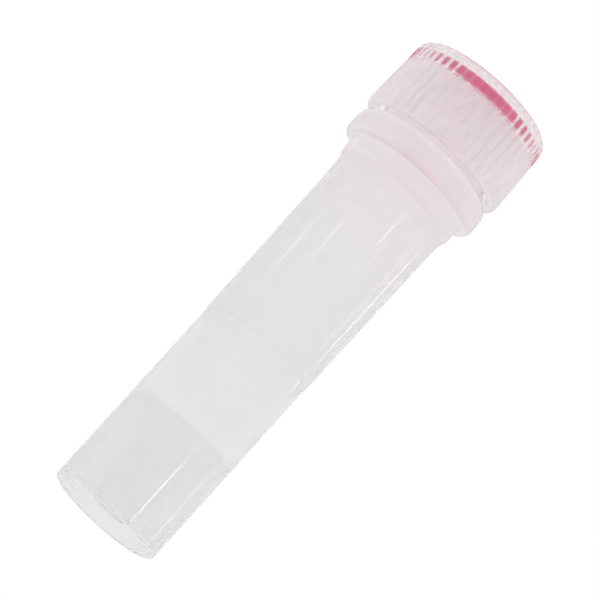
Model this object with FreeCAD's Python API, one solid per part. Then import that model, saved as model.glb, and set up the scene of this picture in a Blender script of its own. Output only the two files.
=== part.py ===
import FreeCAD, Part
import math
import os

# A two-millilitre screw-cap cryovial that stands on its own skirt, with its cap screwed on.
# Four moulded pieces: the tube, the cap, the colour insert in the cap's top and the sealing ring.
# Millimetres. Z runs up the tube's axis and z = 0 is the plane that the skirt stands on.

# Tube: bore and body
bore_radius = 4.62
bore_taper = 0.12
body_wall = 0.78
body_taper = 0.175
step_width = 0.06
step_height = 18.55
body_length = 15.45

# Tube: skirt and closed conical end
skirt_wall = 0.52
skirt_wall_root = 0.60
skirt_edge_radius = 0.30
cavity_height = 9.40
cavity_root_width = 0.854
cavity_root_radius = 0.34
tip_radius = 1.95
tip_wall = 0.95
tip_lift = 0.75
tip_edge_radius = 0.32
tip_straight = 1.35
cone_wall = 0.814
floor_thickness = 1.05
cone_break_rise = 2.00
upper_cone_height = 6.10

# Tube: bead, collar and neck
bead_width = 0.345
bead_height = 3.55
bead_flare = 1.50
bead_flare_width = 0.10
bead_flank = 0.50
bead_round = 0.38
bead_round_width = 0.06
collar_inset = 0.235
collar_height = 2.37
collar_lower_edge_radius = 0.42
collar_upper_edge_radius = 0.80
neck_wall = 0.63
neck_length = 3.60
rim_edge_radius = 0.12

# Screw thread, one start, the same helix on the neck and in the cap
pitch = 2.00
ridge_height = 0.45
ridge_root_width = 0.90
ridge_crest_width = 0.42
ridge_embed = 0.15
neck_thread_lift = 0.85
cap_thread_lift = 0.80
thread_end_gap = 0.65
thread_crest_gap = 0.18
thread_flank_gap = 0.08

# Cap
cap_gap = 0.47
cap_wall = 1.045
cap_draft = 2.04
cap_edge_radius = 0.55
cap_shoulder_radius = 0.79
skirt_mouth_chamfer = 0.25
plate_thickness = 0.95
plug_length = 2.20
plug_wall = 0.75
plug_gap = 0.22
plug_edge_radius = 0.25
recess_inset = 0.13
recess_lip_chamfer = 0.15
rib_count = 48
rib_height = 0.22
rib_root_width = 0.49
rib_crest_width = 0.05

# Colour insert and sealing ring
insert_thickness = 1.20
insert_sink = 0.72
insert_gap = 0.02
insert_chamfer = 0.40
insert_edge_radius = 0.25
ring_section = 1.22
ring_squeeze = 0.12
ring_gap = 0.03

# Radii that follow from the sizes above, from the bore outwards
bore_start_radius = bore_radius - bore_taper
body_top_radius = bore_radius + body_wall
body_base_radius = body_top_radius - body_taper
skirt_radius = body_base_radius - step_width
bead_radius = body_top_radius + bead_width
neck_radius = bore_radius + neck_wall
cap_bore_radius = neck_radius + ridge_height + thread_crest_gap
cap_radius = cap_bore_radius + cap_wall
collar_radius = cap_radius - collar_inset
recess_radius = cap_bore_radius - recess_inset
plug_radius = bore_radius - plug_gap
ring_centre_radius = plug_radius + ring_gap + ring_section / 2
well_radius = tip_radius - tip_wall
cone_top_radius = skirt_radius - skirt_wall_root - cavity_root_width
cone_top_inner = cone_top_radius - cone_wall

# Heights that follow, from the foot up
tip_top = tip_lift + tip_straight
well_centre = tip_lift + floor_thickness + well_radius
cone_top = cavity_height - cavity_root_radius
cone_break_height = cavity_height + cone_break_rise
bore_start_height = cone_break_height + upper_cone_height
body_top = step_height + body_length
bead_top = body_top + bead_height
collar_top = bead_top + collar_height
rim = collar_top + neck_length
cap_bottom = collar_top + cap_gap
ceiling = rim + ring_section - ring_squeeze
recess_floor = ceiling + plate_thickness
insert_top = recess_floor + insert_thickness
cap_top = insert_top + insert_sink
cap_knurl_bottom = cap_bottom + cap_edge_radius
cap_shoulder_height = cap_top - cap_shoulder_radius

# Slopes, as a width for each unit of height
cap_slope = math.tan(math.radians(cap_draft))
flank_slope = (ridge_root_width - ridge_crest_width) / 2 / ridge_height

# The cap's ridge lies this far under the neck's ridge when the cap is tight
flanks_meet = ridge_root_width - flank_slope * (cap_bore_radius - neck_radius)
ridge_spacing = flanks_meet + thread_flank_gap


def point(radius, height):
    return FreeCAD.Vector(radius, 0, height)


def arc(start, middle, end):
    return Part.Arc(point(*start), point(*middle), point(*end)).toShape()


def quarter(centre, radius, start_angle, end_angle):
    """An arc about a centre in the half plane, from one angle to another, in degrees."""
    def at(angle):
        turn = math.radians(angle)
        return (centre[0] + radius * math.cos(turn), centre[1] + radius * math.sin(turn))
    return arc(at(start_angle), at((start_angle + end_angle) / 2), at(end_angle))


def bulge(upright, other):
    """An arc between two points that runs straight up or down at the first of them."""
    across = other[0] - upright[0]
    up = other[1] - upright[1]
    radius = (across ** 2 + up ** 2) / (2 * across)
    half_way = math.asin(up / radius) / 2
    middle = (upright[0] + radius * (1 - math.cos(half_way)), upright[1] + radius * math.sin(half_way))
    ends = sorted([upright, other], key=lambda end: end[1])
    return arc(ends[0], middle, ends[1])


def outline(*pieces):
    """One closed wire: corners given as (radius, height) pairs, and arcs given as edges."""
    edges = []
    corner = None
    first = None
    for piece in pieces:
        if isinstance(piece, tuple):
            start = end = point(*piece)
        else:
            start = piece.valueAt(piece.FirstParameter)
            end = piece.valueAt(piece.LastParameter)
        if corner is None:
            first = start
        elif corner.distanceToPoint(start) > 1e-6:
            edges.append(Part.LineSegment(corner, start).toShape())
        if not isinstance(piece, tuple):
            edges.append(piece)
        corner = end
    edges.append(Part.LineSegment(corner, first).toShape())
    return Part.Wire(edges)


def turned(*pieces):
    """The solid of revolution of an outline about the tube's axis."""
    face = Part.Face(outline(*pieces))
    return face.revolve(FreeCAD.Vector(0, 0, 0), FreeCAD.Vector(0, 0, 1), 360)


def helical_ridge(root_radius, outward, start_height, turn_offset):
    """A trapezoidal ridge along the screw helix, from a height up to a gap under the tube's rim.

    Its root is set into the wall that carries it, and it starts a part of a turn round from +X.
    """
    side = 1 if outward else -1
    half_crest = ridge_crest_width / 2
    inner_half = ridge_root_width / 2 + flank_slope * ridge_embed
    root = root_radius - side * ridge_embed
    crest = root_radius + side * ridge_height
    corners = [(root, -inner_half), (crest, -half_crest), (crest, half_crest), (root, inner_half)]
    profile = Part.makePolygon([point(*corner) for corner in corners + corners[:1]])
    climb = rim - thread_end_gap - start_height
    spine = Part.Wire(Part.makeHelix(pitch, climb, root_radius).Edges)
    ridge = spine.makePipeShell([profile], True, True)
    ridge.translate(FreeCAD.Vector(0, 0, start_height))
    ridge.rotate(FreeCAD.Vector(0, 0, 0), FreeCAD.Vector(0, 0, 1), 360 * turn_offset)
    return ridge


def tube_outside():
    """Everything inside the tube's outer surface, as one turned blank."""
    foot = skirt_edge_radius
    low = collar_lower_edge_radius
    high = collar_upper_edge_radius
    flare_top = body_top + bead_flare
    round_foot = flare_top + bead_flank
    return turned(
        (0, 0),
        quarter((skirt_radius - foot, foot), foot, -90, 0),
        (skirt_radius, step_height),
        (body_base_radius, step_height),
        bulge((body_top_radius, body_top), (body_top_radius + bead_flare_width, flare_top)),
        bulge((bead_radius, round_foot + bead_round), (bead_radius - bead_round_width, round_foot)),
        (bead_radius, bead_top),
        quarter((collar_radius - low, bead_top + low), low, -90, 0),
        quarter((collar_radius - high, collar_top - high), high, 0, 90),
        (neck_radius, collar_top),
        quarter((neck_radius - rim_edge_radius, rim - rim_edge_radius), rim_edge_radius, 0, 90),
        (0, rim),
    )


def tube_inside():
    """The space that holds the sample: a round well, two cones and a drafted bore."""
    rise = cone_top - well_centre
    lean = math.atan2(cone_top_inner, rise) - math.asin(well_radius / math.hypot(cone_top_inner, rise))
    break_radius = cone_top_inner + math.tan(lean) * (cone_break_height - cone_top)
    return turned(
        (0, well_centre - well_radius),
        quarter((0, well_centre), well_radius, -90, -math.degrees(lean)),
        (break_radius, cone_break_height),
        (bore_start_radius, bore_start_height),
        (bore_radius, rim),
        (0, rim),
    )


def skirt_cavity():
    """The open space under the tube, between the skirt and the closed conical end."""
    root = cavity_root_radius
    tip_edge = tip_edge_radius
    return turned(
        (0, 0),
        (skirt_radius - skirt_wall, 0),
        quarter((skirt_radius - skirt_wall_root - root, cone_top), root, 0, 90),
        (cone_top_radius + root, cavity_height),
        (cone_top_radius, cone_top),
        (tip_radius, tip_top),
        quarter((tip_radius - tip_edge, tip_lift + tip_edge), tip_edge, 0, -90),
        (0, tip_lift),
    )


def make_tube():
    blank = tube_outside().cut(skirt_cavity()).cut(tube_inside())
    start = collar_top + neck_thread_lift
    return blank.fuse(helical_ridge(neck_radius, True, start, 0)).removeSplitter()


def cap_envelope():
    """The cap's outer form over the tips of its ribs."""
    edge = cap_edge_radius
    shoulder = cap_shoulder_radius
    cap_shoulder_outer = cap_radius - cap_slope * (cap_shoulder_height - cap_knurl_bottom)
    return turned(
        (0, cap_bottom),
        quarter((cap_radius - edge, cap_knurl_bottom), edge, -90, 0),
        quarter((cap_shoulder_outer - shoulder, cap_shoulder_height), shoulder, 0, 90),
        (0, cap_top),
    )


def ribbed_ring(tip_circle, height):
    """The cap's section at one height: lands with a raised rib at every step round."""
    land = tip_circle - rib_height
    points = []
    for index in range(rib_count):
        middle = 2 * math.pi * index / rib_count
        for radius, across in (
            (land, -rib_root_width / 2),
            (tip_circle, -rib_crest_width / 2),
            (tip_circle, rib_crest_width / 2),
            (land, rib_root_width / 2),
        ):
            angle = middle + across / radius
            points.append(FreeCAD.Vector(radius * math.cos(angle), radius * math.sin(angle), height))
    return Part.makePolygon(points + points[:1])


def ribbed_blank():
    """The cap's outside with its upright ribs, which fade into the rounded edges."""
    low = ribbed_ring(cap_radius + cap_slope * cap_edge_radius, cap_bottom)
    high = ribbed_ring(cap_radius - cap_slope * (cap_top - cap_knurl_bottom), cap_top)
    return Part.makeLoft([low, high], True, True).common(cap_envelope())


def cap_inside():
    """The space over the neck, with the hollow sealing plug left standing in it."""
    edge = plug_edge_radius
    plug_bottom = ceiling - plug_length
    plug_inner = plug_radius - plug_wall
    return turned(
        (0, cap_bottom),
        (cap_bore_radius + skirt_mouth_chamfer, cap_bottom),
        (cap_bore_radius, cap_bottom + skirt_mouth_chamfer),
        (cap_bore_radius, ceiling),
        (plug_radius, ceiling),
        quarter((plug_radius - edge, plug_bottom + edge), edge, 0, -90),
        (plug_inner, plug_bottom),
        (plug_inner, ceiling),
        (0, ceiling),
    )


def cap_recess():
    """The shallow round seat in the cap's top that the colour insert sits in."""
    return turned(
        (0, recess_floor),
        (recess_radius, recess_floor),
        (recess_radius, cap_top - recess_lip_chamfer),
        (recess_radius + recess_lip_chamfer, cap_top),
        (0, cap_top),
    )


def cap_thread():
    """The cap's own ridge, drawn up close under the neck's ridge when the cap is tight."""
    start = cap_bottom + cap_thread_lift
    neck_start = collar_top + neck_thread_lift
    return helical_ridge(cap_bore_radius, False, start, (start + ridge_spacing - neck_start) / pitch)


def make_cap():
    blank = ribbed_blank().cut(cap_inside()).cut(cap_recess())
    return blank.fuse(cap_thread()).removeSplitter()


def make_colour_insert():
    radius = recess_radius - insert_gap
    edge = insert_edge_radius
    return turned(
        (0, recess_floor),
        (radius - insert_chamfer, recess_floor),
        (radius, recess_floor + insert_chamfer),
        quarter((radius - edge, insert_top - edge), edge, 0, 90),
        (0, insert_top),
    )


def make_sealing_ring():
    """A round-section ring, flattened where the cap squeezes it onto the tube's rim."""
    half = ring_section / 2
    flat = half - ring_squeeze / 2
    lean = math.degrees(math.asin(flat / half))
    centre = (ring_centre_radius, rim + flat)
    return turned(
        quarter(centre, half, -lean, lean),
        quarter(centre, half, 180 - lean, 180 + lean),
    )


def main():
    os.makedirs("parts", exist_ok=True)
    pieces = {
        "tube": make_tube(),
        "cap": make_cap(),
        "colour_insert": make_colour_insert(),
        "sealing_ring": make_sealing_ring(),
    }
    for name, shape in pieces.items():
        shape.exportStep("parts/" + name + ".step")
        print(name, shape.isValid(), len(shape.Solids), round(shape.Volume, 2), shape.BoundBox)


main()
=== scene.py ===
import math

import bmesh
import bpy
import numpy as np
from mathutils import Matrix, Vector


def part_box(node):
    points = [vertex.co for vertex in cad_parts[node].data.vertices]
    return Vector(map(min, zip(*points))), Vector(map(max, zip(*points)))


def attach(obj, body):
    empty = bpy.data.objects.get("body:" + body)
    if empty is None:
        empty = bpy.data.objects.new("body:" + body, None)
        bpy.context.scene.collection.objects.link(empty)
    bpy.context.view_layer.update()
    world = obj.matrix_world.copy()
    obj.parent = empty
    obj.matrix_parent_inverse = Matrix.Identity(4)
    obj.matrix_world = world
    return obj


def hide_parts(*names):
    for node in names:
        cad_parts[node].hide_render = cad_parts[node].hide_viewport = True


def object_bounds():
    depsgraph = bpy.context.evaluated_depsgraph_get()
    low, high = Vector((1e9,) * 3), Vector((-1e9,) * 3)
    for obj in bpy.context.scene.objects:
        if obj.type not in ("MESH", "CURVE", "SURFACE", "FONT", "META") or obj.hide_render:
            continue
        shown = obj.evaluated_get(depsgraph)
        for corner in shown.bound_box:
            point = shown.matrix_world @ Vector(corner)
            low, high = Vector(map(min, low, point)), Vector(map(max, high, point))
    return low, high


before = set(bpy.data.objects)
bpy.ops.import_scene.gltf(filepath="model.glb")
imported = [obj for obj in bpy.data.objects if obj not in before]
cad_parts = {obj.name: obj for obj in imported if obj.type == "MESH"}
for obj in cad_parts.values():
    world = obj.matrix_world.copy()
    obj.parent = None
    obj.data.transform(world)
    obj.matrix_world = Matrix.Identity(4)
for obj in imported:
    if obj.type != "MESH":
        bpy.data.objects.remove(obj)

# The looks of a screw-cap cryovial: a milky polypropylene tube and ribbed cap, the magenta insert
# in the cap's top and the clear ring that seals it. Metres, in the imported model's own frame.

bl_info = {
    "name": "Cryovial looks",
    "version": (1, 0, 0),
    "blender": (4, 5, 0),
    "location": "View3D > Sidebar > Cryovial",
    "description": "Builds the visible pieces of a screw-cap cryovial around its packed frame",
    "category": "Object",
}

MM = 0.001
CAD_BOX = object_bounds()
TUBE_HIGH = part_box("tube")[1]
CAP_LOW, CAP_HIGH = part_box("cap")
INSERT_LOW, INSERT_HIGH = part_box("colour_insert")
RING_LOW, RING_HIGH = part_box("sealing_ring")

ARC_STEP = math.radians(9)  # the turn between two edges of a rounding
SHARP = math.radians(34)  # edges that turn by more stay crisp
SUPPORT = 0.05 * MM  # rows this far from a long face's ends hold its shading flat
LONG = 6 * SUPPORT  # shorter faces get no such rows
BULGE_STEPS = 5  # the fewest steps of an arc in the bead's outline
COLUMNS = 256  # columns of faces round the tube and the insert
RING_COLUMNS = 192
FLOOR_COLUMNS = 64
RING_STEPS = 36  # sides of the ring's round section
WELL_STEPS = 10  # steps down the round bottom of the tube's inside
WELD = 0.0005 * MM  # points nearer than this are one
SLICE_WELD = 0.001 * MM  # the same where two slices of the cap meet


# ---------------------------------------------------------------- sizes and colours

def length(name, description, millimetres):
    return bpy.props.FloatProperty(
        name=name, description=description, default=millimetres * MM,
        unit="LENGTH", subtype="DISTANCE", precision=5, min=0.0,
    )


def share(name, description, default):
    return bpy.props.FloatProperty(
        name=name, description=description, default=default, min=0.0, max=1.0, subtype="FACTOR",
    )


def colour(name, description, default):
    return bpy.props.FloatVectorProperty(
        name=name, description=description, default=default,
        size=3, min=0.0, max=1.0, subtype="COLOR",
    )


def density(name, description, per_metre):
    return bpy.props.FloatProperty(name=name, description=description, default=per_metre, min=0.0)


class CryovialTube(bpy.types.PropertyGroup):
    skirt_radius: length("Skirt radius", "Outside of the skirt that the vial stands on", 5.165)
    skirt_wall: length("Skirt wall", "Wall of the skirt at its open end", 0.52)
    skirt_wall_root: length("Skirt root wall", "Wall of the skirt where it meets the body", 0.60)
    skirt_edge: length("Skirt edge", "Rounding of the edge that the vial stands on", 0.30)
    cavity_height: length("Cavity height", "Depth of the hollow under the body", 9.40)
    cavity_root: length("Cavity rounding", "Rounding in the top of that hollow", 0.34)
    tip_radius: length("Tip radius", "Radius of the closed end", 1.95)
    tip_lift: length("Tip lift", "Height of the closed end over the ground", 0.75)
    tip_straight: length("Tip straight", "Upright part of the closed end", 1.35)
    tip_edge: length("Tip edge", "Rounding of the closed end's edge", 0.32)
    cone_radius: length("Cone radius", "Outer radius of the cone in the top of the hollow", 3.711)
    cone_wall: length("Cone wall", "Wall of the cone in the top of the hollow", 0.814)
    floor_thickness: length("Floor", "Plastic under the bottom of the well", 1.05)
    well_radius: length("Well radius", "Radius of the round bottom of the inside", 1.00)
    cone_break_height: length("Cone break", "Height where the inner cone grows steeper", 11.40)
    bore_start_height: length("Bore start", "Height where the straight bore begins", 17.50)
    bore_start_radius: length("Bore start radius", "Radius where the straight bore begins", 4.50)
    bore_radius: length("Bore radius", "Radius of the bore at the mouth", 4.62)
    step_height: length("Step height", "Height of the fine step round the outside", 18.55)
    step_edge: length("Step edge", "Rounding of the fine step", 0.025)
    body_base_radius: length("Body base radius", "Outside of the body over the step", 5.225)
    body_top_radius: length("Body top radius", "Outside of the body under the bead", 5.40)
    bead_radius: length("Bead radius", "Outside of the bead under the collar", 5.745)
    bead_height: length("Bead height", "Height of the bead with its flare", 3.55)
    bead_flare: length("Bead flare", "Height of the slow flare under the bead", 1.50)
    bead_flare_width: length("Bead flare width", "How far the flare leads out", 0.10)
    bead_flank: length("Bead flank", "Height of the slanted foot of the bead", 0.50)
    bead_round: length("Bead rounding", "Height of the rounding over that slant", 0.38)
    bead_round_width: length("Bead rounding width", "How far that rounding leads out", 0.06)
    collar_height: length("Collar height", "Height of the collar", 2.37)
    collar_low_edge: length("Collar lower edge", "Rounding of the collar's lower edge", 0.42)
    collar_high_edge: length("Collar upper edge", "Rounding of the collar's upper edge", 0.80)
    neck_radius: length("Neck radius", "Outside of the neck between the thread's turns", 5.25)
    neck_length: length("Neck length", "Length of the neck over the collar", 3.60)
    rim_edge: length("Rim edge", "Rounding of the rim that the ring seals on", 0.12)
    soft_edge: length("Soft edge", "Rounding of edges that only look sharp", 0.05)


class CryovialCap(bpy.types.PropertyGroup):
    bore_radius: length("Bore radius", "Inside of the cap's wall", 5.88)
    mouth_chamfer: length("Mouth chamfer", "Chamfer at the open end of the inside", 0.25)
    lower_edge: length("Lower edge", "Rounding of the outside's lower edge", 0.55)
    shoulder: length("Shoulder", "Rounding of the outside's upper edge", 0.79)
    draft: length("Draft", "How much the outside narrows over ten millimetres of height", 0.3562)
    recess_wall: length("Recess inset", "How far the seat is narrower than the inside", 0.13)
    seat_corner: length("Seat corner", "Rounding round the bottom of the seat", 0.55)
    lip_chamfer: length("Lip chamfer", "Chamfer round the mouth of the seat", 0.15)
    plug_radius: length("Plug radius", "Outside of the hollow plug that enters the bore", 4.40)
    plug_wall: length("Plug wall", "Wall of the plug", 0.75)
    plug_length: length("Plug length", "Length of the plug", 2.20)
    plug_edge: length("Plug edge", "Rounding of the plug's lower edge", 0.25)
    soft_edge: length("Soft edge", "Rounding of edges that only look sharp", 0.05)
    rib_count: bpy.props.IntProperty(
        name="Ribs", description="Number of upright ribs round the cap", default=48, min=3, max=200,
    )
    rib_height: length("Rib height", "How far a rib stands out", 0.22)
    rib_root: length("Rib root", "Width of a rib at its root", 0.49)
    rib_crest: length("Rib crest", "Width of a rib at its crest", 0.05)


class CryovialThread(bpy.types.PropertyGroup):
    pitch: length("Pitch", "Rise of the thread in one turn", 2.00)
    ridge_height: length("Ridge height", "How far the ridge stands out", 0.45)
    ridge_root: length("Ridge root", "Width of the ridge at its root", 0.90)
    ridge_crest: length("Ridge crest", "Width of the ridge at its crest", 0.42)
    neck_lift: length("Neck lift", "Height over the collar where the neck's ridge starts", 0.85)
    cap_lift: length("Cap lift", "Height over the cap's lower end where its ridge starts", 0.80)
    end_gap: length("End gap", "Distance under the rim where both ridges end", 0.65)
    cap_turn: share("Cap ridge turn", "Part of a turn from +X where the cap's ridge starts", 0.5317)
    run_out: share("Run-out", "Part of a turn over which a ridge fades at its ends", 0.04)


class CryovialTrim(bpy.types.PropertyGroup):
    air_gap: length("Air gap", "Thin film of air that is left where two pieces touch", 0.015)
    insert_chamfer: length("Insert chamfer", "Chamfer of the insert's lower edge", 0.40)
    insert_edge: length("Insert edge", "Rounding of the edges of that chamfer", 0.04)
    insert_round: length("Insert rounding", "Rounding of the insert's upper edge", 0.25)
    ring_section: length("Ring section", "Thickness of the sealing ring's round section", 1.22)


class CryovialFinish(bpy.types.PropertyGroup):
    tube_colour: colour("Tube", "Natural polypropylene of the tube", (0.97, 0.965, 0.97))
    # Partly the plastic's own near-white, partly a painted pink that stands in for the magenta
    # insert's light.
    collar_colour_painted_pink: colour("Collar", "The same plastic near the insert", (0.985, 0.96, 0.965))
    # Partly the plastic's own white, partly a faint painted pink that stands in for the magenta
    # insert's light.
    cap_colour_painted_pink: colour("Cap", "Natural polypropylene of the cap", (1.0, 0.988, 0.992))
    insert_colour: colour("Insert", "Magenta plastic of the insert", (0.80, 0.0, 0.175))
    insert_pale: colour("Insert edge", "The same plastic where it looks paler", (0.92, 0.62, 0.70))
    ring_colour: colour("Ring", "Clear silicone of the sealing ring", (0.97, 0.96, 0.95))
    gloss: share("Gloss roughness", "Roughness of the polypropylene where it stays clear", 0.03)
    haze: share("Haze", "Roughness of the polypropylene where it blurs", 0.65)
    milk: share("Milkiness", "Share of the light that each face of the tube's body blurs", 0.32)
    neck_milk: share("Neck milkiness", "The same share for the collar and the neck", 0.88)
    cap_milk: share("Cap milkiness", "The same share for the cap", 0.93)
    window_milk: share("Window milkiness", "The same share where the cap covers the insert", 0.15)
    ripple: length("Ripple", "Unevenness of the moulded faces", 0.0006)
    cloud: density("Cloud", "Scattering in the tube's plastic", 100.0)
    cap_cloud: density("Cap cloud", "Scattering in the cap's plastic", 300.0)
    forward: share("Forward scattering", "How much the scattered light keeps its direction", 0.80)


class CryovialStudio(bpy.types.PropertyGroup):
    surround: share("Surround", "Brightness of the room that lights the vial", 0.85)
    room: share("Room", "Brightness of the room that the vial mirrors and lets through", 0.83)
    front_dim: share("Front dimness", "How much darker the room is beside the camera", 0.05)
    left_dim: share("Left dimness", "How much darker the room is on the left", 0.12)
    right_dim: share("Right dimness", "How much darker the room is on the right", 0.06)
    floor_colour: colour("Floor", "Pale floor under the vial", (0.86, 0.86, 0.86))
    floor_glow: share("Floor in gloss", "Brightness of the floor in and through plastic", 0.90)


# ---------------------------------------------------------------- outlines and surfaces

def rounded(corners):
    """Points along an outline whose corners are (radius, height, rounding).

    A rounding of zero leaves the corner sharp.
    """
    points = []
    for index, (x, z, rounding) in enumerate(corners):
        corner = Vector((x, z))
        if rounding == 0 or index in (0, len(corners) - 1):
            points.append(corner)
            continue
        before = (Vector(corners[index - 1][:2]) - corner).normalized()
        after = (Vector(corners[index + 1][:2]) - corner).normalized()
        half = before.angle(after) / 2
        centre = corner + (before + after).normalized() * rounding / math.sin(half)
        start = corner + before * rounding / math.tan(half) - centre
        turn = math.pi - 2 * half
        if start.y * before.x < start.x * before.y:
            turn = -turn
        steps = max(2, math.ceil(abs(turn) / ARC_STEP))
        for step in range(steps + 1):
            angle = turn * step / steps
            points.append(centre + Matrix.Rotation(angle, 2) @ start)
    return points


def bulge(upright, other):
    """Points along an arc that runs straight up or down at the first of its two ends."""
    across = other[0] - upright[0]
    up = other[1] - upright[1]
    radius = (across ** 2 + up ** 2) / (2 * across)
    turn = math.asin(up / radius)
    steps = max(BULGE_STEPS, math.ceil(abs(turn) / ARC_STEP))
    points = []
    for step in range(steps + 1):
        angle = turn * step / steps
        points.append(Vector((
            upright[0] + radius * (1 - math.cos(angle)),
            upright[1] + radius * math.sin(angle),
        )))
    return points if up > 0 else points[::-1]


def supported(points):
    """The same points, with one more near each end of every long straight stretch."""
    result = [points[0]]
    for start, end in zip(points, points[1:]):
        run = end - start
        if run.length > LONG:
            step = run.normalized() * SUPPORT
            result += [start + step, end - step]
        result.append(end)
    return result


def even_turns(columns):
    """Parts of a turn from 0 to 1 in equal steps."""
    return np.linspace(0, 1, columns + 1)


def turned_rows(points, turns):
    """One row of radii and heights round the axis for each point of an outline."""
    level = np.ones(len(turns))
    return [(level * point.x, level * point.y) for point in points]


def thread_rows(thread, wall, side, start, end, first_turn, low, high, turns):
    """Rows across a helical ridge on a round wall, between two heights.

    Each column crosses the ridge at most three times, and each crossing has four rows. Where the
    ridge has run out, its rows lie in the wall, and the spare ones meet at the two heights.
    """
    climb = (end - start) / thread.pitch
    rows = []
    for lap in (-1, 0, 1, 2):
        along = lap + turns - first_turn
        centre = start + thread.pitch * along
        fade = np.minimum(along, climb - along) / thread.run_out
        fade = np.clip(fade + 0.5, 0, 1)
        crest = wall + side * thread.ridge_height * fade * fade * (3 - 2 * fade)
        for width, radius in (
            (-thread.ridge_root, wall),
            (-thread.ridge_crest, crest),
            (thread.ridge_crest, crest),
            (thread.ridge_root, wall),
        ):
            height = centre + width / 2
            inside = (height > low) & (height < high)
            rows.append((np.where(inside, radius, wall), np.clip(height, low, high)))
    return rows


def grid_faces(rows, wide):
    """Quads between neighbouring points of a grid whose rows are that many points wide."""
    return [
        (corner, corner + 1, corner + wide + 1, corner + wide)
        for row in range(rows - 1)
        for corner in range(row * wide, (row + 1) * wide - 1)
    ]


def swept_mesh(name, rows, turns):
    """The surface through rows that run once round the axis; its seam isn't welded yet."""
    angle = 2 * np.pi * turns
    angle[-1] = angle[0]
    points = np.array([
        np.stack([radius * np.cos(angle), radius * np.sin(angle), height], axis=1)
        for radius, height in rows
    ]).reshape(-1, 3)
    mesh = bpy.data.meshes.new(name)
    mesh.from_pydata(points.tolist(), [], grid_faces(len(rows), len(turns)))
    return mesh


def finished_object(mesh, material):
    """An object of that mesh: doubles merged, normals outwards, smooth but for its crisp edges."""
    shape = bmesh.new()
    shape.from_mesh(mesh)
    bmesh.ops.remove_doubles(shape, verts=shape.verts, dist=WELD)
    bmesh.ops.dissolve_degenerate(shape, edges=shape.edges, dist=WELD)
    bmesh.ops.recalc_face_normals(shape, faces=shape.faces)
    open_edges = sum(1 for edge in shape.edges if len(edge.link_faces) != 2)
    if open_edges:
        raise RuntimeError(f"{mesh.name} isn't closed: {open_edges} edges don't have two faces")
    for face in shape.faces:
        face.smooth = True
    for edge in shape.edges:
        edge.smooth = edge.calc_face_angle() < SHARP
    shape.to_mesh(mesh)
    shape.free()
    mesh.materials.clear()
    mesh.materials.append(material)
    piece = bpy.data.objects.new(mesh.name, mesh)
    bpy.context.scene.collection.objects.link(piece)
    return piece


# ---------------------------------------------------------------- shader maths

class Value:
    """A socket that carries a number or a colour, with the arithmetic that the materials use."""

    def __init__(self, shader, socket):
        self.shader = shader
        self.socket = socket

    def math(self, operation, other):
        return self.shader.node("ShaderNodeMath", {"operation": operation}, {0: self, 1: other})

    def __add__(self, other):
        return self.math("ADD", other)

    __radd__ = __add__

    def __sub__(self, other):
        return self.math("SUBTRACT", other)

    def __rsub__(self, other):
        return (self * -1.0) + other

    def __mul__(self, other):
        return self.math("MULTIPLY", other)

    __rmul__ = __mul__

    def ramp(self, low, high):
        """Rises smoothly from 0 to 1 as this value goes from low to high."""
        settings = {"interpolation_type": "SMOOTHSTEP"}
        inputs = {"Value": self, "From Min": low, "From Max": high, "To Min": 0.0, "To Max": 1.0}
        return self.shader.node("ShaderNodeMapRange", settings, inputs)

    def mix(self, low, high):
        """The colour low where this value is 0 and the colour high where it is 1."""
        settings = {"data_type": "RGBA", "clamp_factor": True}
        # Inputs 6 and 7 and output 2 are the node's colours; its other kinds share their names.
        return self.shader.node("ShaderNodeMix", settings, {0: self, 6: low, 7: high}, output=2)


class Shader:
    """The node tree of one material or of the world."""

    def __init__(self, owner):
        owner.use_nodes = True
        self.tree = owner.node_tree
        self.tree.nodes.clear()

    def node(self, kind, settings=None, inputs=None, output=0):
        """A new node with those settings and inputs; gives one of its outputs, if it has any."""
        made = self.tree.nodes.new(kind)
        for name, value in (settings or {}).items():
            setattr(made, name, value)
        for name, value in (inputs or {}).items():
            if isinstance(value, Value):
                self.tree.links.new(value.socket, made.inputs[name])
            elif made.inputs[name].type == "RGBA":
                made.inputs[name].default_value = (*value, 1.0)
            else:
                made.inputs[name].default_value = value
        if made.outputs:
            return Value(self, made.outputs[output])

    def place(self):
        """The point on the piece in its own metres, or in the world the direction of a ray."""
        return self.node("ShaderNodeTexCoord", output="Object")

    def along(self, axis, place):
        """That place's distance along an axis."""
        return self.node("ShaderNodeSeparateXYZ", inputs={0: place}, output=axis)

    def distance(self, place):
        """That place's distance from the origin."""
        settings = {"operation": "LENGTH"}
        return self.node("ShaderNodeVectorMath", settings, {0: place}, output="Value")

    def radius(self, place):
        """That place's distance from the Z axis."""
        settings = {"operation": "MULTIPLY"}
        level = self.node("ShaderNodeVectorMath", settings, {0: place, 1: (1.0, 1.0, 0.0)})
        return self.distance(level)

    def glossy_rays(self):
        """1 for rays that come off or through something glossy, and 0 for all others."""
        through = self.node("ShaderNodeLightPath", output="Is Transmission Ray")
        return self.node("ShaderNodeLightPath", output="Is Glossy Ray").math("MAXIMUM", through)

    def noise(self, place, size, detail):
        """Soft noise from 0 to 1 whose lumps are about that many metres across."""
        inputs = {"Vector": place, "Scale": 1 / size, "Detail": detail}
        return self.node("ShaderNodeTexNoise", inputs=inputs)

    def relief(self, height, depth):
        """A bump of that depth in metres."""
        return self.node("ShaderNodeBump", inputs={"Height": height, "Distance": depth})


# ---------------------------------------------------------------- materials

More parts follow.
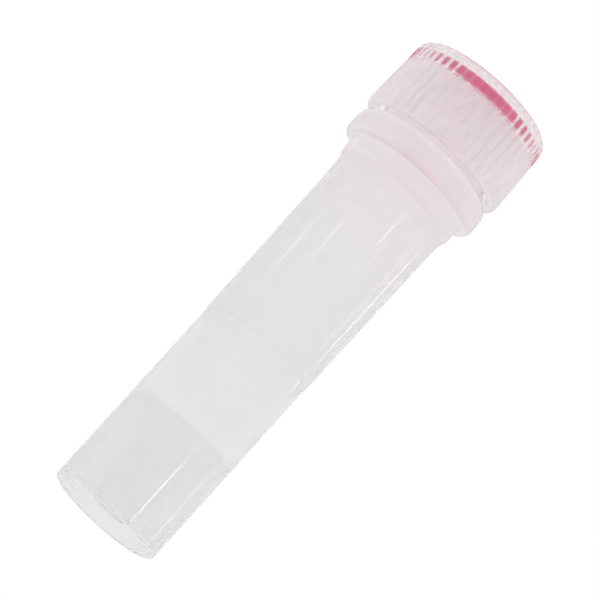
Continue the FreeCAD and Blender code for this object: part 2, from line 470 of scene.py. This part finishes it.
WHITE = 1.0, 1.0, 1.0
PLASTIC_IOR = 1.49
SILICONE_IOR = 1.41
CLOUD_SIZE = 4.0 * MM  # patches of the tube and the cap that are a little milkier
CLOUD_SHARE = 0.06  # how much milkier, and how much rougher where the plastic stays clear
CLOUD_ROUGH = 0.02
RIPPLE_SIZE = 2.5 * MM
# The pink that the tube's tint turns to higher up is painted light of the magenta insert.
FOOT_CLEARS = 0.2 * MM, 0.6 * MM  # heights between which the foot's clear rim turns milky,
NECK_RISES = 32.0 * MM, 39.0 * MM  # the tube turns milkier still,
TINT_RISES = 24.0 * MM, 40.0 * MM  # and its tint turns to the collar's
WINDOW_FADES = 0.2 * MM, 0.1 * MM  # how far the cap's window fades under and over the insert
INSERT_DEEP = 0.82  # the insert's darker patches, as a part of its colour
INSERT_CLOUD_SIZE = 1.5 * MM
INSERT_GRAIN_SIZE = 0.12 * MM
INSERT_GRAIN_DEPTH = 0.01 * MM
PALE_RIM = 0.3  # how much paler the insert is at its upper edge
PALE_RIM_SIZE = 0.3 * MM
PALE_UNDER = 0.8  # and at its underside, between two heights from its lowest point
PALE_UNDER_FADES = -0.1 * MM, 0.45 * MM
RING_PATCH = 0.97, 0.97, 0.96  # the ring's whiter patches
RING_CLOUD_SIZE = 0.8 * MM


def polypropylene(name, low_colour, high_colour, low, high, milk, cloud, finish):
    """Milky, glossy moulded polypropylene whose tint changes slowly between two heights.

    Each face blurs a share of the light that comes through and lets the rest through clear. That
    share is a function of the height, milk. The depth scatters light too.
    """
    material = bpy.data.materials.new(name)
    shader = Shader(material)
    place = shader.place()
    height = shader.along("Z", place)
    # Where this tint is pink, in the tube and in the cap, the pink is painted light of the magenta
    # insert over the plastic's own near-white.
    tint = height.ramp(low, high).mix(low_colour, high_colour)
    clouds = shader.noise(place, CLOUD_SIZE, detail=3.0)
    ripple = shader.relief(shader.noise(place, RIPPLE_SIZE, detail=1.0), finish.ripple)
    clear = shader.node("ShaderNodeBsdfPrincipled", inputs={
        "Base Color": tint,
        "Roughness": clouds * CLOUD_ROUGH + finish.gloss,
        "IOR": PLASTIC_IOR,
        "Transmission Weight": 1.0,
        "Normal": ripple,
    })
    milky = shader.node("ShaderNodeBsdfPrincipled", inputs={
        "Base Color": tint,
        "Roughness": finish.haze,
        "IOR": PLASTIC_IOR,
        "Transmission Weight": 1.0,
    })
    blurred = milk(height) + (clouds - 0.5) * CLOUD_SHARE
    skin = shader.node("ShaderNodeMixShader", inputs={0: blurred, 1: clear, 2: milky})
    cloudy = shader.node("ShaderNodeVolumeScatter", inputs={
        "Color": WHITE, "Density": cloud, "Anisotropy": finish.forward,
    })
    shader.node("ShaderNodeOutputMaterial", inputs={"Surface": skin, "Volume": cloudy})
    return material


def tube_plastic(finish):
    """The tube's plastic: clear at the foot's rim, pinker and milkier from the bead upwards. The
    pink is painted light, which stands in for the magenta insert's light in the plastic.
    """
    def milk(height):
        neck = height.ramp(*NECK_RISES) * (finish.neck_milk - finish.milk)
        foot = height.ramp(*FOOT_CLEARS) * finish.milk
        return foot + neck
    return polypropylene(
        "natural_polypropylene", finish.tube_colour, finish.collar_colour_painted_pink,
        *TINT_RISES, milk, finish.cloud, finish,
    )


def cap_plastic(finish):
    """The cap's plastic, clearer where it covers the coloured insert. Its faint pink is painted
    light of that insert over the plastic's own white.
    """
    def milk(height):
        under, over = WINDOW_FADES
        rise = height.ramp(INSERT_LOW.z - under, INSERT_LOW.z)
        window = rise * (1 - height.ramp(INSERT_HIGH.z, INSERT_HIGH.z + over))
        return window * (finish.window_milk - finish.cap_milk) + finish.cap_milk
    return polypropylene(
        "cap_polypropylene", finish.cap_colour_painted_pink, finish.cap_colour_painted_pink,
        CAP_LOW.z, CAP_HIGH.z, milk, finish.cap_cloud, finish,
    )


def magenta_plastic(finish):
    """Opaque, semi-gloss magenta of the insert, paler round its upper edge and under it."""
    material = bpy.data.materials.new("magenta_plastic")
    shader = Shader(material)
    place = shader.place()
    height = shader.along("Z", place)
    inner = INSERT_HIGH.x - PALE_RIM_SIZE
    side = shader.radius(place).ramp(inner, inner + PALE_RIM_SIZE / 2)
    rim = height.ramp(INSERT_HIGH.z - PALE_RIM_SIZE, INSERT_HIGH.z) * side * PALE_RIM
    low, high = PALE_UNDER_FADES
    under = 1 - height.ramp(INSERT_LOW.z + low, INSERT_LOW.z + high)
    paler = rim + under * PALE_UNDER
    deep = [INSERT_DEEP * part for part in finish.insert_colour]
    bare = shader.noise(place, INSERT_CLOUD_SIZE, detail=3.0).mix(finish.insert_colour, deep)
    grain = shader.noise(place, INSERT_GRAIN_SIZE, detail=2.0)
    surface = shader.node("ShaderNodeBsdfPrincipled", inputs={
        "Base Color": paler.mix(bare, finish.insert_pale),
        "Roughness": grain * 0.15 + 0.35,
        "IOR": PLASTIC_IOR,
        "Normal": shader.relief(grain, INSERT_GRAIN_DEPTH),
    })
    shader.node("ShaderNodeOutputMaterial", inputs={"Surface": surface})
    return material


def clear_silicone(finish):
    """Clear, soft silicone of the sealing ring."""
    material = bpy.data.materials.new("clear_silicone")
    shader = Shader(material)
    clouds = shader.noise(shader.place(), RING_CLOUD_SIZE, detail=2.0)
    surface = shader.node("ShaderNodeBsdfPrincipled", inputs={
        "Base Color": clouds.mix(finish.ring_colour, RING_PATCH),
        "Roughness": clouds * 0.1 + 0.2,
        "IOR": SILICONE_IOR,
        "Transmission Weight": 0.7,
    })
    shader.node("ShaderNodeOutputMaterial", inputs={"Surface": surface})
    return material


# ---------------------------------------------------------------- the tube

def tube_outer_foot(tube):
    """Outline from the axis under the closed end, through the hollow, to the step outside."""
    root = tube.cavity_root
    soft = tube.soft_edge
    return rounded([
        (0, tube.tip_lift, 0),
        (tube.tip_radius, tube.tip_lift, tube.tip_edge),
        (tube.tip_radius, tube.tip_lift + tube.tip_straight, soft),
        (tube.cone_radius, tube.cavity_height - root, 2 * soft),
        (tube.cone_radius + root, tube.cavity_height, 2 * soft),
        (tube.skirt_radius - tube.skirt_wall_root, tube.cavity_height, root),
        (tube.skirt_radius - tube.skirt_wall, 0, soft),
        (tube.skirt_radius, 0, tube.skirt_edge),
        (tube.skirt_radius, tube.step_height, tube.step_edge),
        (tube.body_base_radius, tube.step_height, tube.step_edge),
        (tube.body_base_radius, tube.step_height + SUPPORT, 0),
    ])


def tube_shoulder(tube, collar_top):
    """Outline up the body, over the bead and the collar to the foot of the neck."""
    bead_top = collar_top - tube.collar_height
    body_top = bead_top - tube.bead_height
    flare_top = body_top + tube.bead_flare
    round_foot = flare_top + tube.bead_flank
    flare = bulge(
        (tube.body_top_radius, body_top),
        (tube.body_top_radius + tube.bead_flare_width, flare_top),
    )
    crown = bulge(
        (tube.bead_radius, round_foot + tube.bead_round),
        (tube.bead_radius - tube.bead_round_width, round_foot),
    )
    collar_radius = TUBE_HIGH.x
    return flare + crown + rounded([
        (tube.bead_radius, round_foot + tube.bead_round + SUPPORT, 0),
        (tube.bead_radius, bead_top, tube.soft_edge),
        (collar_radius, bead_top, tube.collar_low_edge),
        (collar_radius, collar_top, tube.collar_high_edge),
        (tube.neck_radius, collar_top, tube.soft_edge),
        (tube.neck_radius, collar_top + 2 * tube.soft_edge, 0),
    ])


INSIDE_ROUNDING = 0.6 * MM  # where the inner cone changes its slope
UNDER_RIM = 1.25  # where the rim's outline begins, in parts of its rounding under its top


def tube_inside(tube, rim):
    """Outline from the neck's wall over the rim and down the inside to the axis."""
    centre = tube.tip_lift + tube.floor_thickness + tube.well_radius
    cone_top = tube.cavity_height - tube.cavity_root
    inner = tube.cone_radius - tube.cone_wall
    rise = cone_top - centre
    lean = math.atan2(inner, rise) - math.asin(tube.well_radius / math.hypot(inner, rise))
    break_radius = inner + math.tan(lean) * (tube.cone_break_height - cone_top)
    wall = rounded([
        (tube.neck_radius, rim - UNDER_RIM * tube.rim_edge, 0),
        (tube.neck_radius, rim, tube.rim_edge),
        (tube.bore_radius, rim, tube.soft_edge),
        (tube.bore_start_radius, tube.bore_start_height, INSIDE_ROUNDING),
        (break_radius, tube.cone_break_height, INSIDE_ROUNDING),
        (tube.well_radius * math.cos(lean), centre - tube.well_radius * math.sin(lean), 0),
    ])
    well = []
    for step in range(1, WELL_STEPS + 1):
        angle = lean + (math.pi / 2 - lean) * step / WELL_STEPS
        well.append(Vector((
            tube.well_radius * math.cos(angle), centre - tube.well_radius * math.sin(angle),
        )))
    well[-1].x = 0
    return wall + well


def make_tube(tube, thread, material):
    turns = even_turns(COLUMNS)
    rim = TUBE_HIGH.z
    collar_top = rim - tube.neck_length
    lower = supported(tube_outer_foot(tube) + tube_shoulder(tube, collar_top))
    upper = supported(tube_inside(tube, rim))
    ridge = thread_rows(
        thread, tube.neck_radius, 1, collar_top + thread.neck_lift, rim - thread.end_gap, 0,
        lower[-1].y, upper[0].y, turns,
    )
    rows = turned_rows(lower, turns) + ridge + turned_rows(upper, turns)
    return finished_object(swept_mesh("tube_body", rows, turns), material)


# ---------------------------------------------------------------- the cap

def tip_radius(cap, height):
    """How far the tips of the ribs stand from the axis at a height over the lower edge."""
    foot = CAP_LOW.z + cap.lower_edge
    return CAP_HIGH.x - cap.draft / (10 * MM) * (height - foot)


def cap_outline(cap):
    """Outline over the tips of the ribs, from the mouth's chamfer to the lip of the seat."""
    seat = cap.bore_radius - cap.recess_wall + cap.lip_chamfer
    return supported(rounded([
        (cap.bore_radius + cap.mouth_chamfer, CAP_LOW.z, 0),
        (CAP_HIGH.x, CAP_LOW.z, cap.lower_edge),
        (CAP_HIGH.x, CAP_LOW.z + cap.lower_edge, 0),
        (tip_radius(cap, CAP_HIGH.z), CAP_HIGH.z, cap.shoulder),
        (seat, CAP_HIGH.z, 0),
    ]))


def rib_section(cap):
    """Across one rib and half of the land on both sides: turn in ribs and share of height."""
    spacing = 2 * math.pi * CAP_HIGH.x / cap.rib_count
    root, end = cap.rib_root / 2, spacing / 2
    half = [
        (0.0, 1.0),
        (cap.rib_crest / 2, 1.0),
        (root, 0.0),
        (root + (end - root) / 3, 0.0),
        (root + (end - root) * 2 / 3, 0.0),
        (end, 0.0),
    ]
    whole = [(-across, rise) for across, rise in half[:0:-1]] + half
    return [(across / spacing, rise) for across, rise in whole]


def rib_turns(cap):
    """Parts of a turn at which the cap's surfaces have a column, so that they all meet."""
    across = np.array(rib_section(cap))[:, 0]
    starts = np.arange(cap.rib_count)[:, None] + across[None, :-1]
    turns = starts.reshape(-1) / cap.rib_count
    return np.append(turns, turns[0] + 1)


def rib_slice(cap, outline):
    """The cap's outside over one rib, as a narrow strip about +X."""
    section = rib_section(cap)
    points = []
    for corner in outline:
        tips = tip_radius(cap, corner.y)
        for across, rise in section:
            ribbed = tips - cap.rib_height * (1 - rise)
            radius = min(corner.x, ribbed)
            angle = 2 * math.pi * across / cap.rib_count
            points.append((radius * math.cos(angle), radius * math.sin(angle), corner.y))
    mesh = bpy.data.meshes.new("rib_slice")
    mesh.from_pydata(points, [], grid_faces(len(outline), len(section)))
    return mesh


def ring_of_slices_tree():
    """Geometry nodes that repeat a slice round the Z axis and weld the copies to one skin."""
    tree = bpy.data.node_groups.new("Ring of slices", "GeometryNodeTree")
    ends = tree.interface
    ends.new_socket("Slice", in_out="INPUT", socket_type="NodeSocketGeometry")
    count = ends.new_socket("Count", in_out="INPUT", socket_type="NodeSocketInt")
    weld = ends.new_socket("Weld distance", in_out="INPUT", socket_type="NodeSocketFloat")
    finish = ends.new_socket("Material", in_out="INPUT", socket_type="NodeSocketMaterial")
    ends.new_socket("Ring", in_out="OUTPUT", socket_type="NodeSocketGeometry")

    def node(kind, inputs=None, operation=None):
        made = tree.nodes.new(kind)
        if operation:
            made.operation = operation
        for name, value in (inputs or {}).items():
            if isinstance(value, bpy.types.NodeSocket):
                tree.links.new(value, made.inputs[name])
            else:
                made.inputs[name].default_value = value
        return made.outputs

    given = node("NodeGroupInput")
    spots = node("GeometryNodePoints", {"Count": given["Count"]})[0]
    index = node("GeometryNodeInputIndex")[0]
    step = node("ShaderNodeMath", {0: 2 * math.pi, 1: given["Count"]}, "DIVIDE")[0]
    turn = node("ShaderNodeMath", {0: index, 1: step}, "MULTIPLY")[0]
    rotation = node("ShaderNodeCombineXYZ", {"Z": turn})[0]
    copies = node("GeometryNodeInstanceOnPoints", {
        "Points": spots, "Instance": given["Slice"], "Rotation": rotation,
    })[0]
    real = node("GeometryNodeRealizeInstances", {"Geometry": copies})[0]
    welded = node("GeometryNodeMergeByDistance", {
        "Geometry": real, "Distance": given["Weld distance"],
    })[0]
    painted = node("GeometryNodeSetMaterial", {
        "Geometry": welded, "Material": given["Material"],
    })[0]
    node("NodeGroupOutput", {"Ring": painted})
    return tree, {"count": count.identifier, "weld": weld.identifier, "material": finish.identifier}


def ribbed_skin(cap, material):
    """The whole ribbed outside of the cap as a plain mesh."""
    source = bpy.data.objects.new("rib_slice", rib_slice(cap, cap_outline(cap)))
    bpy.context.scene.collection.objects.link(source)
    tree, sockets = ring_of_slices_tree()
    modifier = source.modifiers.new("ring", "NODES")
    modifier.node_group = tree
    modifier[sockets["count"]] = cap.rib_count
    modifier[sockets["weld"]] = SLICE_WELD
    modifier[sockets["material"]] = material
    graph = bpy.context.evaluated_depsgraph_get()
    mesh = bpy.data.meshes.new_from_object(source.evaluated_get(graph))
    source.modifiers.remove(modifier)
    bpy.data.objects.remove(source)
    return mesh


def cap_inside(cap, thread, turns):
    """The cap's inside from the mouth's chamfer, past the thread, to the axis."""
    ceiling = RING_HIGH.z
    plug_inner = cap.plug_radius - cap.plug_wall
    plug_end = ceiling - cap.plug_length
    mouth = rounded([
        (cap.bore_radius + cap.mouth_chamfer, CAP_LOW.z, 0),
        (cap.bore_radius, CAP_LOW.z + cap.mouth_chamfer, cap.soft_edge),
        (cap.bore_radius, CAP_LOW.z + cap.mouth_chamfer + cap.soft_edge, 0),
    ])
    top = rounded([
        (cap.bore_radius, ceiling - 4 * cap.soft_edge, 0),
        (cap.bore_radius, ceiling, 2 * cap.soft_edge),
        (cap.plug_radius, ceiling, 2 * cap.soft_edge),
        (cap.plug_radius, plug_end, cap.plug_edge),
        (plug_inner, plug_end, cap.soft_edge),
        (plug_inner, ceiling, 2 * cap.soft_edge),
        (0, ceiling, 0),
    ])
    lower, upper = supported(mouth), supported(top)
    ridge = thread_rows(
        thread, cap.bore_radius, -1, CAP_LOW.z + thread.cap_lift, TUBE_HIGH.z - thread.end_gap,
        thread.cap_turn, lower[-1].y, upper[0].y, turns,
    )
    return turned_rows(lower, turns) + ridge + turned_rows(upper, turns)


def cap_seat(cap, turns):
    """The seat of the colour insert, from the lip down to the axis."""
    seat = cap.bore_radius - cap.recess_wall
    outline = rounded([
        (seat + cap.lip_chamfer, CAP_HIGH.z, 0),
        (seat, CAP_HIGH.z - cap.lip_chamfer, cap.soft_edge),
        (seat, INSERT_LOW.z, cap.seat_corner),
        (0, INSERT_LOW.z, 0),
    ])
    return turned_rows(supported(outline), turns)


def make_cap(cap, thread, material):
    turns = rib_turns(cap)
    skin = ribbed_skin(cap, material)
    inside = swept_mesh("cap_inside", cap_inside(cap, thread, turns), turns)
    seat = swept_mesh("cap_seat", cap_seat(cap, turns), turns)
    joined = bmesh.new()
    for mesh in (skin, inside, seat):
        joined.from_mesh(mesh)
        bpy.data.meshes.remove(mesh)
    whole = bpy.data.meshes.new("ribbed_cap")
    joined.to_mesh(whole)
    joined.free()
    return finished_object(whole, material)


# ---------------------------------------------------------------- insert and ring

def make_insert(trim, material):
    turns = even_turns(COLUMNS)
    radius = INSERT_HIGH.x
    foot = INSERT_LOW.z + trim.air_gap
    outline = rounded([
        (0, foot, 0),
        (radius - trim.insert_chamfer, foot, trim.insert_edge),
        (radius, foot + trim.insert_chamfer, trim.insert_edge),
        (radius, INSERT_HIGH.z, trim.insert_round),
        (0, INSERT_HIGH.z, 0),
    ])
    rows = turned_rows(supported(outline), turns)
    return finished_object(swept_mesh("colour_disc", rows, turns), material)


def make_ring(trim, material):
    turns = even_turns(RING_COLUMNS)
    half = trim.ring_section / 2
    flat = (RING_HIGH.z - RING_LOW.z) / 2 - trim.air_gap
    centre = Vector((RING_HIGH.x - half, (RING_HIGH.z + RING_LOW.z) / 2))
    outline = []
    for step in range(RING_STEPS + 1):
        angle = 2 * math.pi * (step % RING_STEPS) / RING_STEPS
        rise = max(-flat, min(flat, half * math.sin(angle)))
        outline.append(centre + Vector((half * math.cos(angle), rise)))
    return finished_object(swept_mesh("seal_ring", turned_rows(outline, turns), turns), material)


# ---------------------------------------------------------------- studio

CAMERA_DISTANCE = 409.566 * MM
CAMERA_DROP = 71.860 * MM
CAMERA_TILT = 0.23031  # upwards, in radians
CAMERA_LENS = 309.75  # in millimetres, for a sensor 36 mm wide
AXIS_LEAN = math.radians(42.15)


def make_camera():
    """A long lens below the vial's foot, turned so that the vial leans to the right."""
    camera = bpy.data.objects.new("camera", bpy.data.cameras.new("camera"))
    camera.data.sensor_width = 36
    camera.data.lens = CAMERA_LENS
    camera.data.clip_start = 0.01
    camera.data.clip_end = 10
    forward = Vector((0, math.cos(CAMERA_TILT), math.sin(CAMERA_TILT)))
    upright = Vector((0, -math.sin(CAMERA_TILT), math.cos(CAMERA_TILT)))
    side = Vector((1, 0, 0))
    right = side * math.cos(AXIS_LEAN) + upright * math.sin(AXIS_LEAN)
    up = upright * math.cos(AXIS_LEAN) - side * math.sin(AXIS_LEAN)
    frame_axes = Matrix((right, up, -forward)).transposed().to_4x4()
    place = Matrix.Translation((0, -CAMERA_DISTANCE, -CAMERA_DROP))
    camera.matrix_world = place @ frame_axes
    bpy.context.scene.collection.objects.link(camera)
    bpy.context.scene.camera = camera


LAMP_DISTANCE = 600 * MM
LAMP_POWER = 4.0  # watts for one square metre that is as bright as a white room
STRIPS = (
    # name, azimuth in degrees, lower and upper end and width in millimetres, brightness
    ("foot_key", 41.8, 106, 123, 30, 8.0),
    ("foot_side", 103.5, 106, 122, 30, 3.2),
    ("side", 95.6, 149, 176, 25, 3.2),
    ("far_side", 116.0, 149, 179, 32, 4.6),
    ("key_low", 44.7, 157, 171, 20, 3.0),
    ("key_high", 35.2, 168, 178, 25, 8.0),
    ("left_key", -35.5, 157, 166.5, 25, 5.0),
    ("left_side", -78.6, 152, 168, 25, 4.5),
)


def make_lamp(name, azimuth, low, high, width, brightness):
    """An upright strip lamp that faces the vial, between two heights over the floor.

    Azimuth 0 is on the camera's side and 90 degrees on +X. A brightness of 1 is as bright as a
    white room. Light that is scattered or goes through the plastic doesn't see the strip, so that
    it makes glints and leaves the plain light to the room.
    """
    data = bpy.data.lights.new(name, "AREA")
    data.shape = "RECTANGLE"
    data.size = width
    data.size_y = high - low
    data.energy = LAMP_POWER * width * (high - low) * brightness
    lamp = bpy.data.objects.new(name, data)
    turn = math.radians(azimuth)
    away = Vector((math.sin(turn), -math.cos(turn), 0))
    middle = (low + high) / 2
    aim = Vector((0, 0, (CAD_BOX[0][2] + CAD_BOX[1][2]) / 2))
    lamp.location = away * LAMP_DISTANCE + Vector((0, 0, middle))
    lamp.rotation_euler = (lamp.location - aim).to_track_quat("Z", "Y").to_euler()
    lamp.visible_transmission = lamp.visible_volume_scatter = lamp.visible_diffuse = False
    bpy.context.scene.collection.objects.link(lamp)


BACK_RISES = -0.6, 0.9  # the room brightens between these parts of the way to the back
SIDE_RISES = 0.1, 0.9  # and dims between these parts of the way to each side


def make_world(studio):
    """A white backdrop for the camera, and a slightly uneven pale room for all other rays."""
    world = bpy.data.worlds.new("studio")
    bpy.context.scene.world = world
    shader = Shader(world)
    seen = shader.node("ShaderNodeLightPath", output="Is Camera Ray")
    glossy = shader.glossy_rays()
    away = shader.place()
    behind = shader.along("Y", away).ramp(*BACK_RISES)
    across = shader.along("X", away)
    left, right = (across * -1).ramp(*SIDE_RISES), across.ramp(*SIDE_RISES)
    dark = (1 - behind) * studio.front_dim + left * studio.left_dim + right * studio.right_dim
    room = (1 - dark) * studio.room
    strength = seen + (1 - seen) * (glossy * room + (1 - glossy) * studio.surround)
    light = shader.node("ShaderNodeBackground", inputs={"Color": WHITE, "Strength": strength})
    shader.node("ShaderNodeOutputWorld", inputs={"Surface": light})


FLOOR_DROP = 0.2 * MM
FLOOR_RADIUS = 600 * MM
FLOOR_FADES = 120 * MM, 450 * MM  # from the vial, where the floor turns to the white backdrop


def floor_material(studio):
    """Pale floor that is only there from above, and evenly bright in and through plastic."""
    material = bpy.data.materials.new("floor")
    shader = Shader(material)
    glossy = shader.glossy_rays()
    under = shader.node("ShaderNodeNewGeometry", output="Backfacing")
    far = shader.distance(shader.place())
    plain = shader.node("ShaderNodeBsdfDiffuse", inputs={"Color": studio.floor_colour})
    white = shader.node("ShaderNodeEmission", inputs={
        "Color": WHITE, "Strength": 1 - glossy * (1 - studio.floor_glow),
    })
    clear = shader.node("ShaderNodeBsdfTransparent")
    bright = glossy.math("MAXIMUM", far.ramp(*FLOOR_FADES))
    above = shader.node("ShaderNodeMixShader", inputs={0: bright, 1: plain, 2: white})
    floor = shader.node("ShaderNodeMixShader", inputs={0: under, 1: above, 2: clear})
    shader.node("ShaderNodeOutputMaterial", inputs={"Surface": floor})
    return material


def make_floor(studio):
    turns = even_turns(FLOOR_COLUMNS)
    outline = [Vector((0, -FLOOR_DROP)), Vector((FLOOR_RADIUS, -FLOOR_DROP))]
    mesh = swept_mesh("floor", turned_rows(outline, turns), turns)
    shape = bmesh.new()
    shape.from_mesh(mesh)
    bmesh.ops.remove_doubles(shape, verts=shape.verts, dist=WELD)
    for face in shape.faces:
        face.normal_update()
        if face.normal.z < 0:
            face.normal_flip()
    shape.to_mesh(mesh)
    shape.free()
    mesh.materials.append(floor_material(studio))
    floor = bpy.data.objects.new("floor", mesh)
    bpy.context.scene.collection.objects.link(floor)
    return floor


# ---------------------------------------------------------------- operators

class CRYOVIAL_OT_tube(bpy.types.Operator):
    """Builds the tube: skirt, cone, body, bead, collar and threaded neck"""

    bl_idname = "cryovial.tube"
    bl_label = "Build tube"

    def execute(self, context):
        scene = context.scene
        material = tube_plastic(scene.cryovial_finish)
        piece = make_tube(scene.cryovial_tube, scene.cryovial_thread, material)
        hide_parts("tube")
        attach(piece, "vial")
        return {"FINISHED"}


class CRYOVIAL_OT_cap(bpy.types.Operator):
    """Builds the ribbed screw cap with its thread, plug and seat"""

    bl_idname = "cryovial.cap"
    bl_label = "Build cap"

    def execute(self, context):
        scene = context.scene
        material = cap_plastic(scene.cryovial_finish)
        piece = make_cap(scene.cryovial_cap, scene.cryovial_thread, material)
        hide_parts("cap")
        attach(piece, "closure")
        return {"FINISHED"}


class CRYOVIAL_OT_colour_insert(bpy.types.Operator):
    """Builds the magenta insert in the cap's top"""

    bl_idname = "cryovial.colour_insert"
    bl_label = "Build colour insert"

    def execute(self, context):
        scene = context.scene
        material = magenta_plastic(scene.cryovial_finish)
        piece = make_insert(scene.cryovial_trim, material)
        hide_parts("colour_insert")
        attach(piece, "closure")
        return {"FINISHED"}


class CRYOVIAL_OT_sealing_ring(bpy.types.Operator):
    """Builds the ring that seals the cap on the tube's rim"""

    bl_idname = "cryovial.sealing_ring"
    bl_label = "Build sealing ring"

    def execute(self, context):
        scene = context.scene
        material = clear_silicone(scene.cryovial_finish)
        piece = make_ring(scene.cryovial_trim, material)
        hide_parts("sealing_ring")
        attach(piece, "seal")
        return {"FINISHED"}


class CRYOVIAL_OT_stage(bpy.types.Operator):
    """Sets up the floor, the room, the lamps and the camera"""

    bl_idname = "cryovial.stage"
    bl_label = "Set up stage"

    def execute(self, context):
        scene = context.scene
        scene.view_settings.view_transform = "Standard"
        # Light stays in clear plastic for many bounces, and filtering them would darken it.
        scene.cycles.max_bounces = 64
        scene.cycles.diffuse_bounces = 12
        scene.cycles.glossy_bounces = 24
        scene.cycles.transmission_bounces = 32
        scene.cycles.volume_bounces = 32
        scene.cycles.blur_glossy = 0
        make_camera()
        make_world(scene.cryovial_studio)
        make_floor(scene.cryovial_studio)
        for name, azimuth, low, high, width, brightness in STRIPS:
            make_lamp(name, azimuth, low * MM, high * MM, width * MM, brightness)
        return {"FINISHED"}


STEPS = (
    CRYOVIAL_OT_stage,
    CRYOVIAL_OT_tube,
    CRYOVIAL_OT_sealing_ring,
    CRYOVIAL_OT_cap,
    CRYOVIAL_OT_colour_insert,
)


class CRYOVIAL_PT_panel(bpy.types.Panel):
    """Lists the vial's pieces and their sizes"""

    bl_idname = "CRYOVIAL_PT_panel"
    bl_label = "Cryovial"
    bl_space_type = "VIEW_3D"
    bl_region_type = "UI"
    bl_category = "Cryovial"

    def draw(self, context):
        for step in STEPS:
            self.layout.operator(step.bl_idname)
        for group, name in GROUPS.items():
            box = self.layout.box()
            for value in group.__annotations__:
                box.prop(getattr(context.scene, name), value)


GROUPS = {
    CryovialTube: "cryovial_tube",
    CryovialCap: "cryovial_cap",
    CryovialThread: "cryovial_thread",
    CryovialTrim: "cryovial_trim",
    CryovialFinish: "cryovial_finish",
    CryovialStudio: "cryovial_studio",
}


def register():
    for group, name in GROUPS.items():
        bpy.utils.register_class(group)
        setattr(bpy.types.Scene, name, bpy.props.PointerProperty(type=group))
    for made in (*STEPS, CRYOVIAL_PT_panel):
        bpy.utils.register_class(made)


def unregister():
    for made in (CRYOVIAL_PT_panel, *reversed(STEPS)):
        bpy.utils.unregister_class(made)
    for group, name in reversed(list(GROUPS.items())):
        delattr(bpy.types.Scene, name)
        bpy.utils.unregister_class(group)


def main():
    register()
    for step in STEPS:
        family, action = step.bl_idname.split(".")
        getattr(getattr(bpy.ops, family), action)()


if __name__ == "__main__":
    main()
